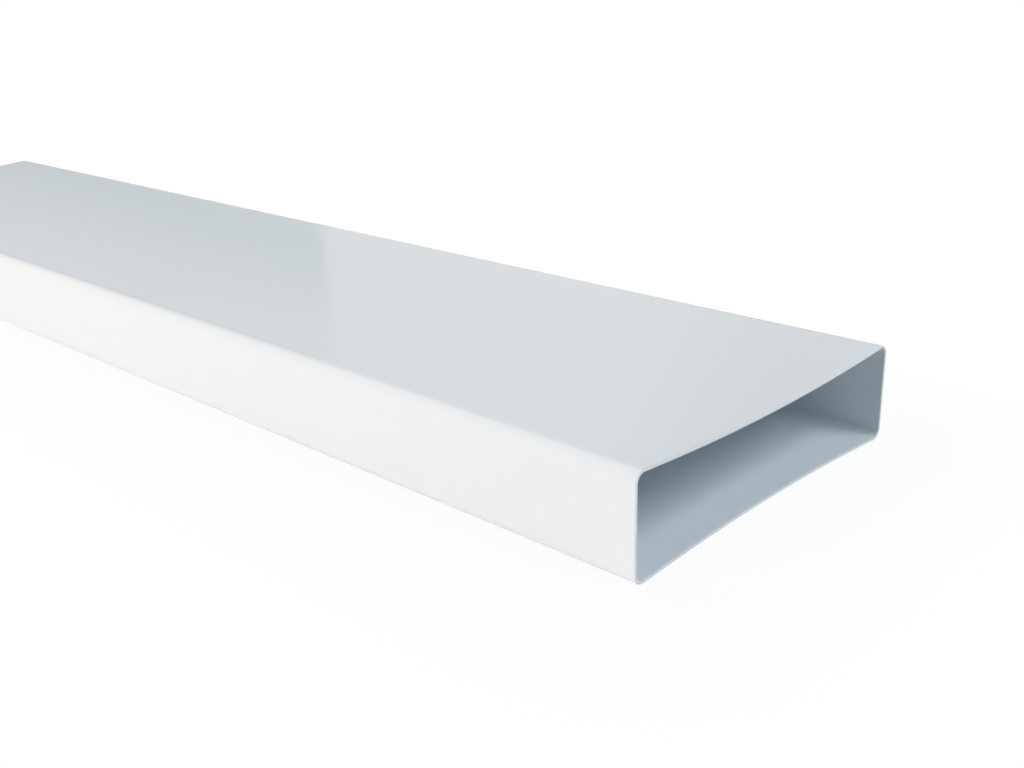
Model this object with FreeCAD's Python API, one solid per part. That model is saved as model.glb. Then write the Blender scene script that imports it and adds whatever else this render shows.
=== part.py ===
# Flat channel duct: one straight length of rigid PVC ventilation duct, extruded in one piece.
# Two narrow upright walls and two wide walls that bow inwards meet in rounded corners,
# and both ends are sawn square, with their rims lightly broken.
# Frame: X along the duct, Y across its width, Z up, origin on the floor under its middle.
import FreeCAD, Part

import math
import os

from FreeCAD import Vector

# Driving dimensions, in millimetres
LENGTH = 1000.0
OUTER_WIDTH = 220.0
OUTER_HEIGHT = 55.0
WALL = 1.5
CORNER_RADIUS = 6.0  # outside, where an upright wall turns into a wide one
WALL_BOW = 3.9  # how far the middle of a wide wall lies inside its corners
RIM_BREAK = 0.3  # chamfer left on the sawn rims, inside and outside

# Centres of the corner arcs, measured from the middle of the section
CORNER_Y = OUTER_WIDTH / 2 - CORNER_RADIUS
CORNER_Z = OUTER_HEIGHT / 2 - CORNER_RADIUS

# A wide wall is one arc that touches both of its corner arcs from outside, so the distance
# between their centres is the sum of their radii. CORNER_TURN is the angle a corner arc
# sweeps from the upright wall to that point of contact, a little more than a right angle.
BOW_TO_CORNER = (CORNER_Y**2 + WALL_BOW**2) / (2 * WALL_BOW)
CORNER_TURN = math.pi / 2 + math.asin(CORNER_Y / BOW_TO_CORNER)


def section_outline(inset):
    """Closed outline of the section, lying inset below the outside surface, in the plane x = 0."""
    radius = CORNER_RADIUS - inset
    middle_z = OUTER_HEIGHT / 2

    def on_corner(side, level, angle):
        y = side * (CORNER_Y + radius * math.cos(angle))
        z = middle_z + level * (CORNER_Z + radius * math.sin(angle))
        return Vector(0, y, z)

    curves = []
    for side in (-1, 1):
        curves.append(Part.LineSegment(on_corner(side, -1, 0), on_corner(side, 1, 0)))
        for level in (-1, 1):
            arc_points = [on_corner(side, level, angle) for angle in (0, CORNER_TURN / 2, CORNER_TURN)]
            curves.append(Part.Arc(*arc_points))
    for level in (-1, 1):
        near_end = on_corner(-1, level, CORNER_TURN)
        crown = Vector(0, 0, middle_z + level * (OUTER_HEIGHT / 2 - WALL_BOW - inset))
        far_end = on_corner(1, level, CORNER_TURN)
        curves.append(Part.Arc(near_end, crown, far_end))

    edges = [curve.toShape() for curve in curves]
    return Part.Wire(Part.__sortEdges__(edges))


def extruded_channel():
    """The section with its wall, drawn out to the full length about the middle."""
    outlines = [section_outline(0), section_outline(WALL)]
    section = Part.makeFace(outlines, "Part::FaceMakerBullseye")
    section.translate(Vector(-LENGTH / 2, 0, 0))
    return section.extrude(Vector(LENGTH, 0, 0))


def break_rims(channel):
    """Chamfers the inner and outer rim of both sawn ends, the first and last faces along the duct."""
    faces_along = sorted(channel.Faces, key=lambda face: face.CenterOfMass.x)
    rims = faces_along[0].Edges + faces_along[-1].Edges
    return channel.makeChamfer(RIM_BREAK, rims)


def build():
    duct_channel = break_rims(extruded_channel())
    os.makedirs("parts", exist_ok=True)
    duct_channel.exportStep("parts/duct_channel.step")

    box = duct_channel.BoundBox
    print("valid", duct_channel.isValid(), "solids", len(duct_channel.Solids))
    print("size mm", round(box.XLength, 3), round(box.YLength, 3), round(box.ZLength, 3))
    print("lowest z mm", round(box.ZMin, 4), "volume cm3", round(duct_channel.Volume / 1000, 2))


build()
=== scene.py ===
import math

import bpy
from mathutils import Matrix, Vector


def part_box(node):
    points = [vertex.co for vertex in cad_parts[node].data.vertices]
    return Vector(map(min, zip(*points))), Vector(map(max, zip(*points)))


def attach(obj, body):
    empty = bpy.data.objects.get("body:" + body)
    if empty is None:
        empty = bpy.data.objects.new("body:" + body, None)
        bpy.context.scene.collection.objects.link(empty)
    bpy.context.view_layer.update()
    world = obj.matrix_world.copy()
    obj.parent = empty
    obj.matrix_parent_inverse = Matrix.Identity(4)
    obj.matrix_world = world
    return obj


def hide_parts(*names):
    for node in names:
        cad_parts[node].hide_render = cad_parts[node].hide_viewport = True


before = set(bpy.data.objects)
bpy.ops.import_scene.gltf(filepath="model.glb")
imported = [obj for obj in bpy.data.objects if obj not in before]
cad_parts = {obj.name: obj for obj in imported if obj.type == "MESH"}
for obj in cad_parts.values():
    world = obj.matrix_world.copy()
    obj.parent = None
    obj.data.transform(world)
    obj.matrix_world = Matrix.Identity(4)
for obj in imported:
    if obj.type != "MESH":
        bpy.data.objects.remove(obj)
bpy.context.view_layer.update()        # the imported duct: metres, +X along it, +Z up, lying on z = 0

lowCorner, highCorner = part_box("duct_channel")
print("frame loaded, duct measures", [round(side, 4) for side in highCorner - lowCorner])


# Small helpers for objects and nodes

plainWhite = (1, 1, 1, 1)


def deselectAll():
    bpy.ops.object.select_all(action="DESELECT")


def applyModifier(piece, kind, **settings):
    modifier = piece.modifiers.new(kind.title(), kind)
    for key, value in settings.items():
        setattr(modifier, key, value)
    bpy.ops.object.modifier_apply(modifier=modifier.name)


def opaque(tone):
    return (*tone, 1)


def addNode(tree, kind, inputs=None, **settings):
    node = tree.nodes.new(kind)
    for key, value in settings.items():
        setattr(node, key, value)
    for label, value in (inputs or {}).items():
        feed(tree, node.inputs[label], value)
    return node


def feed(tree, socket, value):  # a socket takes another node's output or a plain value
    if isinstance(value, bpy.types.NodeSocket):
        tree.links.new(value, socket)
    else:
        socket.default_value = value


def mathNode(tree, operation, first, second=0.0):
    node = addNode(tree, "ShaderNodeMath", {0: first, 1: second}, operation=operation)
    return node.outputs[0]


def mixTone(tree, share, first, second):
    blend = {"Factor": share, "A": first, "B": second}
    return addNode(tree, "ShaderNodeMix", blend, data_type="RGBA").outputs["Result"]


def mixValue(tree, share, first, second):
    blend = {"Factor": share, "A": first, "B": second}
    return addNode(tree, "ShaderNodeMix", blend, data_type="FLOAT").outputs["Result"]


def ramp(tree, value, low, high, shape="SMOOTHSTEP"):  # from 0 at low to 1 at high
    limits = {"Value": value, "From Min": low, "From Max": high}
    node = addNode(tree, "ShaderNodeMapRange", limits, interpolation_type=shape)
    return node.outputs["Result"]


def noiseNode(tree, point, scale, detail, roughness=0.5):
    inputs = {"Vector": point, "Scale": scale, "Detail": detail, "Roughness": roughness}
    return addNode(tree, "ShaderNodeTexNoise", inputs).outputs["Fac"]


def scaleFor(tree, size):  # the scale at which patches of noise are about this wide
    return mathNode(tree, "DIVIDE", 1.0, size)


def objectPoint(tree, scale=(1, 1, 1), turn=(0, 0, 0)):
    place = addNode(tree, "ShaderNodeTexCoord").outputs["Object"]
    node = addNode(tree, "ShaderNodeMapping", {"Vector": place, "Scale": scale, "Rotation": turn})
    return node.outputs["Vector"]


def objectParts(tree):
    place = addNode(tree, "ShaderNodeTexCoord").outputs["Object"]
    return addNode(tree, "ShaderNodeSeparateXYZ", {"Vector": place}).outputs


def startGroup(name, inputs, outputs):
    tree = bpy.data.node_groups.new(name, "ShaderNodeTree")
    for label, value in inputs.items():
        socket = tree.interface.new_socket(label, in_out="INPUT", socket_type="NodeSocketFloat")
        socket.default_value = value
    for label in outputs:
        tree.interface.new_socket(label, in_out="OUTPUT", socket_type="NodeSocketFloat")
    return tree, addNode(tree, "NodeGroupInput").outputs, addNode(tree, "NodeGroupOutput").inputs


def placeGroup(tree, group, **values):
    node = addNode(tree, "ShaderNodeGroup", node_tree=group)
    for label, value in values.items():
        feed(tree, node.inputs[label], value)
    return node.outputs[0]


def startMaterial(name):
    material = bpy.data.materials.new(name)
    material.use_nodes = True
    material.node_tree.nodes.clear()
    return material, material.node_tree


# The duct: its outline is drawn with spins, pulled out along X, and given its wall

channel = {
    "cornerRadius": 0.006,  # outside corners
    "wallBow": 0.0039,  # how far the wide walls dip in at their middle
    "wall": 0.0015,
    "rimBreak": 0.00045,  # rounding left on the sawn rims
    "rimSteps": 4,
    "cornerSteps": 18,
    "bowSteps": 64,
    "rimLoops": [0.0012, 0.006],  # loops close to each end keep the long faces flat
    "lengthSteps": 60,
    "waveDepth": 0.00016,  # unevenness of the drawn walls
    "waveSize": 0.16,
    "weld": 2e-5,  # points of the outline nearer than this are one
    "smoothAngle": 40,  # degrees, past which an edge is sharp and gets rounded
}


def spinAbout(centre, angle, steps):
    bpy.ops.mesh.spin(steps=steps, angle=-angle, center=centre, axis=(1, 0, 0))


def drawOutline(startX):
    radius, bow = channel["cornerRadius"], channel["wallBow"]
    cornerY = highCorner.y - radius
    sideHeight = highCorner.z - lowCorner.z - 2 * radius
    reach = (cornerY**2 + bow**2) / (2 * bow)  # from the bow's centre to a corner's centre
    lean = math.asin(cornerY / reach)
    cornerTurn = -(math.pi / 2 + lean)
    bpy.ops.mesh.merge(type="CENTER")  # the primitive shrinks to the first point
    bpy.ops.transform.translate(value=(startX, -highCorner.y, lowCorner.z + radius))
    for way in (1, -1):  # up the front wall and over the top, then down the back and under
        baseZ = highCorner.z if way > 0 else lowCorner.z
        cornerZ = baseZ - way * radius
        bowZ = baseZ + way * (reach - radius - bow)
        rise = {"value": (0, 0, way * sideHeight)}
        bpy.ops.mesh.extrude_region_move(TRANSFORM_OT_translate=rise)
        spinAbout((startX, -way * cornerY, cornerZ), cornerTurn, channel["cornerSteps"])
        spinAbout((startX, 0, bowZ), 2 * lean, channel["bowSteps"])
        spinAbout((startX, way * cornerY, cornerZ), cornerTurn, channel["cornerSteps"])
    bpy.ops.mesh.select_all(action="SELECT")
    bpy.ops.mesh.remove_doubles(threshold=channel["weld"])  # closes the outline


def lengthStops():
    length = highCorner.x - lowCorner.x
    first, second = channel["rimLoops"]
    steps = channel["lengthSteps"]
    run = length - 2 * second
    middle = [second + run * step / steps for step in range(steps + 1)]
    return [first, *middle, length - first, length]


def drawSkin():
    deselectAll()
    bpy.ops.mesh.primitive_plane_add(size=channel["wall"])
    piece = bpy.context.object
    piece.name = "flatChannel"
    bpy.ops.object.mode_set(mode="EDIT")
    drawOutline(lowCorner.x)
    reached = 0
    for stop in lengthStops():
        pull = {"value": (stop - reached, 0, 0)}
        bpy.ops.mesh.extrude_region_move(TRANSFORM_OT_translate=pull)
        reached = stop
    bpy.ops.mesh.select_all(action="SELECT")
    bpy.ops.mesh.normals_make_consistent(inside=False)
    bpy.ops.object.mode_set(mode="OBJECT")
    print("skin drawn with", len(piece.data.polygons), "faces")
    return piece


def addWall(piece, finishes):  # finishes for the outside, the bore and the rims
    sharpEdge = math.radians(channel["smoothAngle"])
    waves = bpy.data.textures.new("wallWaves", "CLOUDS")
    waves.noise_scale = channel["waveSize"]
    applyModifier(
        piece, "DISPLACE", texture=waves, texture_coords="LOCAL",
        mid_level=1, strength=channel["waveDepth"],  # this level lets the walls move inwards only
    )
    for finish in finishes:
        piece.data.materials.append(finish)
    applyModifier(
        piece, "SOLIDIFY", thickness=channel["wall"], offset=-1, use_even_offset=True,
        material_offset=1, material_offset_rim=2,
    )
    applyModifier(
        piece, "BEVEL", width=channel["rimBreak"], segments=channel["rimSteps"],
        limit_method="ANGLE", angle_limit=sharpEdge,
    )
    bpy.ops.object.shade_smooth_by_angle(angle=sharpEdge)
    print("wall and rims done,", len(piece.data.polygons), "faces")


# Effects that the three finishes of the white plastic share

def makeDieLines():  # fine streaks that the die leaves along the duct
    tree, given, out = startGroup("dieLines", {"Pitch": 0.004, "Along": 0.03}, ["Height"])
    parts = objectParts(tree)
    stretched = mathNode(tree, "MULTIPLY", parts["X"], given["Along"])
    sides = {"X": stretched, "Y": parts["Y"], "Z": parts["Z"]}
    point = addNode(tree, "ShaderNodeCombineXYZ", sides).outputs[0]
    scale = scaleFor(tree, given["Pitch"])
    feed(tree, out["Height"], noiseNode(tree, point, scale, detail=3.0, roughness=0.6))
    return tree


def makeCloudiness():  # broad, faint unevenness of gloss and tone
    tree, given, out = startGroup("cloudiness", {"Size": 0.12}, ["Value"])
    scale = scaleFor(tree, given["Size"])
    point = objectPoint(tree, scale=(0.5, 1, 1))  # twice as long along the duct
    feed(tree, out["Value"], noiseNode(tree, point, scale, detail=2.0))
    return tree


handling = {
    "hairTurns": (0.06, -0.11),  # radians that the two sets of hairlines lean
    "hairStretch": (0.02, 1, 1),  # they are long along the duct
    "hairCut": (0.7, 0.78),  # levels of noise over which a hairline comes in
    "patchScale": 9.0,
    "patchCut": (0.5, 0.66),  # and over which a patch that was handled does
}


def makeScuffs():  # sparse hairlines from handling, mostly along the duct
    tree, given, out = startGroup("scuffs", {"Width": 0.0008, "Amount": 0.5}, ["Mask"])
    scale = scaleFor(tree, given["Width"])
    hairs = []
    for turn in handling["hairTurns"]:
        point = objectPoint(tree, handling["hairStretch"], (0, 0, turn))
        streak = noiseNode(tree, point, scale, detail=1.0)
        hairs.append(ramp(tree, streak, *handling["hairCut"]))
    patches = noiseNode(tree, objectPoint(tree), handling["patchScale"], detail=2.0)
    handled = ramp(tree, patches, *handling["patchCut"])
    mask = mathNode(tree, "MULTIPLY", mathNode(tree, "MAXIMUM", *hairs), handled)
    feed(tree, out["Mask"], mathNode(tree, "MULTIPLY", mask, given["Amount"]))
    return tree


def makeDust():  # a light film that settles low down
    tree, given, out = startGroup("settledDust", {"Level": 0.012, "Grain": 0.003}, ["Mask"])
    height = objectParts(tree)["Z"]
    low = mathNode(tree, "SUBTRACT", 1.0, mathNode(tree, "DIVIDE", height, given["Level"]))
    scale = scaleFor(tree, given["Grain"])
    grain = noiseNode(tree, objectPoint(tree), scale, detail=4.0)
    feed(tree, out["Mask"], mathNode(tree, "MULTIPLY", ramp(tree, low, 0.0, 1.0), grain))
    return tree


blade = {
    "slant": 28,  # degrees
    "bandPitch": math.pi / 10,  # from band to band of a wave texture of scale 1
    "waver": {"Distortion": 3.0, "Detail": 3.0, "Detail Scale": 1.5},
}


def makeSawStrokes():  # slanting strokes of the blade across a sawn rim
    tree, given, out = startGroup("sawStrokes", {"Pitch": 0.0008}, ["Height"])
    scale = mathNode(tree, "DIVIDE", blade["bandPitch"], given["Pitch"])
    point = objectPoint(tree, turn=(math.radians(blade["slant"]), 0, 0))
    inputs = {"Vector": point, "Scale": scale, **blade["waver"]}
    wave = addNode(tree, "ShaderNodeTexWave", inputs, bands_direction="Y")
    feed(tree, out["Height"], wave.outputs["Fac"])
    return tree


dieLines = makeDieLines()
cloudiness = makeCloudiness()
scuffs = makeScuffs()
settledDust = makeDust()
sawStrokes = makeSawStrokes()


# Finishes: the glossy outside, the duller bore (its tone a little darker and bluer, as painted shade)
# and the sawn rims

pvcIor = 1.53


def finishPvc(tree, tone, gloss, height, depth):
    bump = addNode(tree, "ShaderNodeBump", {"Height": height, "Distance": depth, "Strength": 1.0})
    shader = addNode(tree, "ShaderNodeBsdfPrincipled", {
        "Base Color": tone, "Roughness": gloss, "Normal": bump.outputs["Normal"], "IOR": pvcIor,
    })
    addNode(tree, "ShaderNodeOutputMaterial", {"Surface": shader.outputs["BSDF"]})


outerPvc = {
    "name": "outerPvc",
    "tone": (0.843, 0.862, 0.875),
    "shade": (0.827, 0.848, 0.862),
    "roughness": (0.035, 0.06),
    "cloudSize": 0.12,
    "linePitch": 0.004,
    "lineDepth": 0.000005,
    "scuffAmount": 0.5,
    "scuffRoughness": 0.3,
}


def makeOuterPvc():
    material, tree = startMaterial(outerPvc["name"])
    lines = placeGroup(tree, dieLines, Pitch=outerPvc["linePitch"])
    clouds = placeGroup(tree, cloudiness, Size=outerPvc["cloudSize"])
    marks = placeGroup(tree, scuffs, Amount=outerPvc["scuffAmount"])
    tone = mixTone(tree, clouds, opaque(outerPvc["shade"]), opaque(outerPvc["tone"]))
    gloss = mixValue(tree, clouds, *outerPvc["roughness"])
    gloss = mixValue(tree, marks, gloss, outerPvc["scuffRoughness"])
    finishPvc(tree, tone, gloss, lines, outerPvc["lineDepth"])
    return material


borePvc = {
    "name": "borePvc",
    # the bore's tone and shade are set a little darker and bluer than the outside's: painted shade of
    # the duct's inside
    "tone": (0.824, 0.851, 0.87),
    "shade": (0.806, 0.836, 0.856),
    "roughness": (0.14, 0.2),
    "cloudSize": 0.09,
    "linePitch": 0.003,
    "lineDepth": 0.000008,
    "dustLevel": 0.012,  # height up to which dust lies on the inner floor
    "dustTone": (0.74, 0.745, 0.745),
    "dustRoughness": 0.55,
    "dustShare": 0.18,
}


def makeBorePvc():
    material, tree = startMaterial(borePvc["name"])
    lines = placeGroup(tree, dieLines, Pitch=borePvc["linePitch"])
    clouds = placeGroup(tree, cloudiness, Size=borePvc["cloudSize"])
    film = placeGroup(tree, settledDust, Level=borePvc["dustLevel"])
    dust = mathNode(tree, "MULTIPLY", film, borePvc["dustShare"])
    tone = mixTone(tree, clouds, opaque(borePvc["shade"]), opaque(borePvc["tone"]))
    tone = mixTone(tree, dust, tone, opaque(borePvc["dustTone"]))
    gloss = mixValue(tree, clouds, *borePvc["roughness"])
    gloss = mixValue(tree, dust, gloss, borePvc["dustRoughness"])
    finishPvc(tree, tone, gloss, lines, borePvc["lineDepth"])
    return material


sawnPvc = {
    "name": "sawnPvc",
    "tone": (0.86, 0.865, 0.87),
    "shade": (0.81, 0.815, 0.82),
    "roughness": (0.5, 0.65),
    "strokePitch": 0.0008,
    "strokeDepth": 0.00003,
}


def makeSawnPvc():
    material, tree = startMaterial(sawnPvc["name"])
    strokes = placeGroup(tree, sawStrokes, Pitch=sawnPvc["strokePitch"])
    tone = mixTone(tree, strokes, opaque(sawnPvc["shade"]), opaque(sawnPvc["tone"]))
    gloss = mixValue(tree, strokes, *sawnPvc["roughness"])
    finishPvc(tree, tone, gloss, strokes, sawnPvc["strokeDepth"])
    return material


pvcFinishes = [makeOuterPvc(), makeBorePvc(), makeSawnPvc()]
print("finishes mixed:", [finish.name for finish in pvcFinishes])

flatChannel = drawSkin()
addWall(flatChannel, pvcFinishes)
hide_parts("duct_channel")
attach(flatChannel, "root")


# Studio: a white floor, a soft sky with the room that the gloss mirrors, lamps and the camera

studio = {
    "floorSize": 60,
    "floorTone": (0.82, 0.82, 0.82),
    "floorGlow": 0.94,  # share of plain white that the camera sees in the floor by the duct
    "whiteFrom": 0.0,  # distance from the duct at which that share starts to grow
    "whiteTo": 0.14,  # and at which the floor is plain white
}


def plainView(tree):  # 1 for rays that come from the camera or off a mirror or glass
    path = addNode(tree, "ShaderNodeLightPath").outputs
    seen = mathNode(tree, "MAXIMUM", path["Is Camera Ray"], path["Is Glossy Ray"])
    return mathNode(tree, "MAXIMUM", seen, path["Is Transmission Ray"])


def awayFromDuct(tree):  # distance on the floor from the outline of the duct
    parts = objectParts(tree)
    beyond = []
    for axis, reach in (("X", highCorner.x), ("Y", highCorner.y)):
        out = mathNode(tree, "SUBTRACT", mathNode(tree, "ABSOLUTE", parts[axis]), reach)
        beyond.append(mathNode(tree, "MAXIMUM", out, 0.0))
    squares = [mathNode(tree, "POWER", side, 2.0) for side in beyond]
    return mathNode(tree, "SQRT", mathNode(tree, "ADD", *squares))


def makeFloor():
    deselectAll()
    bpy.ops.mesh.primitive_plane_add(size=studio["floorSize"], location=(0, 0, lowCorner.z))
    floor = bpy.context.object
    floor.name = "floor"
    material, tree = startMaterial("whiteFloor")
    far = ramp(tree, awayFromDuct(tree), studio["whiteFrom"], studio["whiteTo"])
    seen = plainView(tree)
    share = mathNode(tree, "MULTIPLY", seen, mixValue(tree, far, studio["floorGlow"], 1.0))
    paper = addNode(tree, "ShaderNodeBsdfDiffuse", {"Color": opaque(studio["floorTone"])})
    glow = addNode(tree, "ShaderNodeEmission", {"Color": plainWhite, "Strength": 1.0})
    layers = {0: share, 1: paper.outputs[0], 2: glow.outputs[0]}
    mix = addNode(tree, "ShaderNodeMixShader", layers)
    addNode(tree, "ShaderNodeOutputMaterial", {"Surface": mix.outputs[0]})
    floor.data.materials.append(material)


sky = {
    "topTone": (0.059, 0.063, 0.066),  # light on the duct from overhead
    "rimTone": (0.059, 0.09, 0.113),  # and from the horizon
    "sideTone": (0.5, 0.5, 0.5),  # a dimmer side of the mirrored room
    "sideStart": (-0.62, -0.44),  # shares of a direction along X over which it comes in
    "sideEnd": (-0.42, -0.26),  # and over which it goes again
    "cardTone": (0.42, 0.53, 0.58),  # a grey card that leaves a line across the top
    "cardSide": (-0.58, -0.459, -0.673),  # it lies this way from its sharp edge
    "cardEdge": (-0.002, 0.002),  # shares along that way over which the edge turns
    "cardPale": 0.3,  # share of its tone that is left past that edge
    "cardRise": (-0.04, -0.377, 0.925),  # it grows darker this way
    "cardFade": (-0.012, 0.08),  # between these shares along it
    "cardTop": (0.095, 0.15),  # and ends softly between these
}


def shareAlong(tree, way, axis):
    node = addNode(tree, "ShaderNodeVectorMath", {0: way, 1: axis}, operation="DOT_PRODUCT")
    return node.outputs["Value"]


def mirroredRoom(tree, way):  # white walls, one dimmer side and the card
    across = addNode(tree, "ShaderNodeSeparateXYZ", {"Vector": way}).outputs["X"]
    begun = ramp(tree, across, *sky["sideStart"])
    ended = ramp(tree, across, *sky["sideEnd"])
    dimmed = mathNode(tree, "SUBTRACT", begun, ended)
    walls = mixTone(tree, dimmed, plainWhite, opaque(sky["sideTone"]))
    inside = ramp(tree, shareAlong(tree, way, sky["cardSide"]), *sky["cardEdge"])
    beside = mixValue(tree, inside, sky["cardPale"], 1.0)
    height = shareAlong(tree, way, sky["cardRise"])
    fade = ramp(tree, height, *sky["cardFade"], "LINEAR")
    over = ramp(tree, height, *sky["cardTop"])
    depth = mathNode(tree, "MULTIPLY", beside, mathNode(tree, "SUBTRACT", fade, over))
    return mixTone(tree, depth, walls, opaque(sky["cardTone"]))


def makeSky():
    world = bpy.data.worlds.new("softSky")
    bpy.context.scene.world = world
    world.use_nodes = True
    tree = world.node_tree
    tree.nodes.clear()
    way = addNode(tree, "ShaderNodeTexCoord").outputs["Generated"]  # in a world, the ray's direction
    height = addNode(tree, "ShaderNodeSeparateXYZ", {"Vector": way}).outputs["Z"]
    tone = mixTone(tree, height, opaque(sky["rimTone"]), opaque(sky["topTone"]))
    mirrored = addNode(tree, "ShaderNodeLightPath").outputs["Is Glossy Ray"]
    seen = mixTone(tree, mirrored, plainWhite, mirroredRoom(tree, way))
    light = addNode(tree, "ShaderNodeBackground", {"Color": tone, "Strength": 1.0})
    white = addNode(tree, "ShaderNodeBackground", {"Color": seen, "Strength": 1.0})
    layers = {0: plainView(tree), 1: light.outputs[0], 2: white.outputs[0]}
    mix = addNode(tree, "ShaderNodeMixShader", layers)
    addNode(tree, "ShaderNodeOutputWorld", {"Surface": mix.outputs[0]})


lamps = {  # power in watts
    "frontKey": {  # the main light, on the front wall
        "place": (-0.7, -3.3, 1.2), "size": (1.8, 1.4), "power": 98, "tone": (1, 0.94, 0.9),
    },
    "leftSoft": {  # from past the far end
        "place": (-2.4, 0, 1.8), "size": (1.8, 1.3), "power": 27.2, "tone": (1, 0.84, 0.72),
    },
    "sideCool": {  # from past the near end, into the mouth
        "place": (3.0, 0.2, 1.6), "size": (1.6, 1.4), "power": 20.2, "tone": (0.58, 0.82, 1),
    },
    "sideHigh": {  # from higher on that side
        "place": (2.4, 0.4, 2.6), "size": (1.6, 1.4), "power": 22.2, "tone": (0.87, 0.94, 1),
    },
    "mouthHigh": {  # close to the mouth
        "place": (1.5, 0.9, 1.6), "size": (0.8, 0.8), "power": 11.2, "tone": (0.97, 0.99, 1),
    },
    "backFill": {  # on the back wall
        "place": (-0.8, 3.0, 0.9), "size": (1.8, 1.0), "power": 11.6, "tone": (0.37, 0.67, 1),
    },
}
lampAim = (0.1, 0, 0.03)  # all of them face this point


def makeLamp(name, lamp):
    deselectAll()
    bpy.ops.object.light_add(type="AREA", location=lamp["place"])
    light = bpy.context.object
    light.name = name
    aim = Vector(lampAim) - Vector(lamp["place"])
    light.rotation_euler = aim.to_track_quat("-Z", "Y").to_euler()
    light.data.shape = "RECTANGLE"
    light.data.size, light.data.size_y = lamp["size"]
    light.data.energy = lamp["power"]
    light.data.color = lamp["tone"]
    light.visible_camera = light.visible_glossy = False  # the gloss shows the room instead


view = {
    "eye": (0.77793, -0.47099, 0.26367),
    "turn": (69.6787, 1.4648, 43.4132),  # degrees about X, Y and Z
    "lens": 42.039,  # millimetres, as the sensor is
    "sensor": 36,
    "clipStart": 0.01,
}


def makeCamera():
    deselectAll()
    turn = [math.radians(angle) for angle in view["turn"]]
    bpy.ops.object.camera_add(location=view["eye"], rotation=turn)
    camera = bpy.context.object
    camera.name = "photoView"
    camera.data.lens = view["lens"]
    camera.data.sensor_width = view["sensor"]
    camera.data.clip_start = view["clipStart"]
    bpy.context.scene.camera = camera


makeFloor()
makeSky()
for name, lamp in lamps.items():
    makeLamp(name, lamp)
makeCamera()
bpy.context.scene.view_settings.view_transform = "Standard"
print("studio and camera set")
